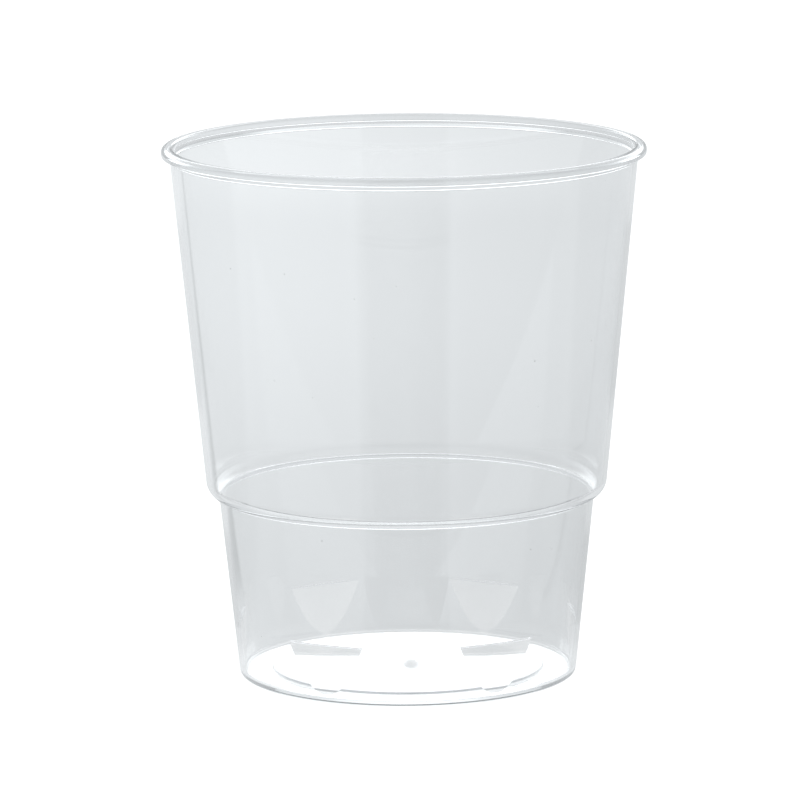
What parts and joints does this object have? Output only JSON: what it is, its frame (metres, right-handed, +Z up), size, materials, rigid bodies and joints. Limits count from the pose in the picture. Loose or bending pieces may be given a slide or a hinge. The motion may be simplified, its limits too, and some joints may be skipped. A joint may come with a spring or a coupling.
{
  "type": "plastic tumbler cup",
  "caption": "Clear injection-moulded disposable tumbler with a beaded rim, a rounded shoulder, a raised floor panel and stacking lugs inside the foot.",
  "frame": {"origin": "centre of the foot, on the plane that the cup stands on", "axes": "+Z up along the cup's axis towards the mouth; +X towards the middle of one stacking lug; the picture's camera looks along +Y"},
  "size_m": [0.078, 0.078, 0.0864],
  "materials": {
    "clear_plastic": "clear polished polystyrene, glossy inside and out"
  },
  "bodies": {
    "root": {"tumbler": "clear_plastic"}
  },
  "joints": []
}
